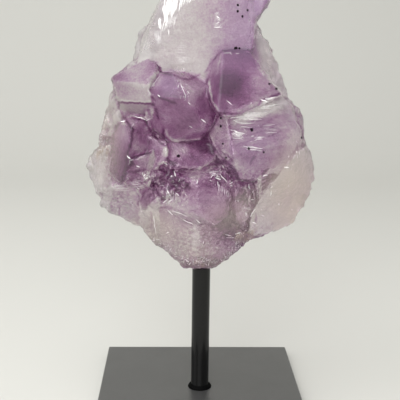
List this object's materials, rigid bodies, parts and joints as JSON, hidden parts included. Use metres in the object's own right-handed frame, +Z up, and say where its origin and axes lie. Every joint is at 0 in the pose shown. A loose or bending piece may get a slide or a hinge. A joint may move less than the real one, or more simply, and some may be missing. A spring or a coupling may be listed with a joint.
{
  "type": "amethyst cluster",
  "caption": "Natural amethyst cluster of intergrown quartz crystals, broken from its matrix, standing on a round black post welded to a square black base plate",
  "frame": {"origin": "middle of the underside of the base plate", "axes": "+Z up along the post, -Y towards the viewer that the crystals face, +X to that viewer's right"},
  "size_m": [0.0975, 0.09, 0.1942],
  "materials": {
    "amethyst": "vitreous",
    "satin_black": "satin",
    "weld_black": "satin"
  },
  "bodies": {
    "root": {"amethyst_cluster": "amethyst", "post": "satin_black", "weld_bead": "weld_black", "base_plate": "satin_black"}
  },
  "joints": []
}
